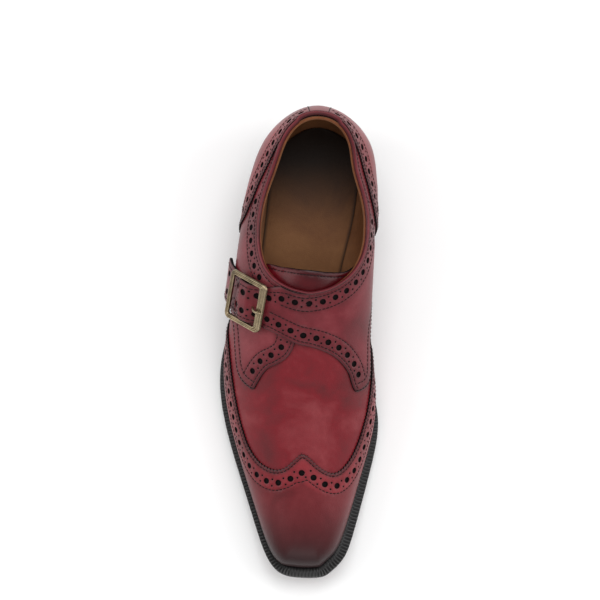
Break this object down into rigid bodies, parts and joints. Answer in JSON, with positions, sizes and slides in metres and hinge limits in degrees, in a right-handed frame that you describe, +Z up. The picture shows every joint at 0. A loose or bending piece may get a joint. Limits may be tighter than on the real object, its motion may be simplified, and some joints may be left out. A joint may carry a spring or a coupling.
{
  "type": "monk strap shoe",
  "caption": "Men's wing-cap single monk strap shoe for the right foot in burgundy leather, with a brass buckle, ribbed welt, leather outsole and stacked heel.",
  "frame": {"origin": "on the floor under the centre of the outer box", "axes": "+Z up, +Y towards the heel, +X towards the inner side of the right foot"},
  "size_m": [0.107, 0.3094, 0.0928],
  "materials": {
    "sole_leather": "waxed smooth",
    "edge_leather": "black edge dressing",
    "lining_leather": "matt",
    "heel_rubber": "matt",
    "vamp_leather": "burnished",
    "cap_leather": "burnished",
    "quarter_leather": "burnished",
    "tongue_leather": "glossy",
    "brass": "antique"
  },
  "bodies": {
    "root": {"outsole": "sole_leather", "welt": "edge_leather", "insole": "lining_leather", "heel_stack": "edge_leather", "heel_top_leather": "sole_leather", "heel_top_rubber": "heel_rubber", "upper": "vamp_leather", "wing_cap": "cap_leather", "quarter_lateral": "quarter_leather", "quarter_medial": "quarter_leather", "heel_counter": "cap_leather", "tongue": "tongue_leather", "buckle_frame": "brass", "buckle_prong": "brass"}
  },
  "joints": []
}
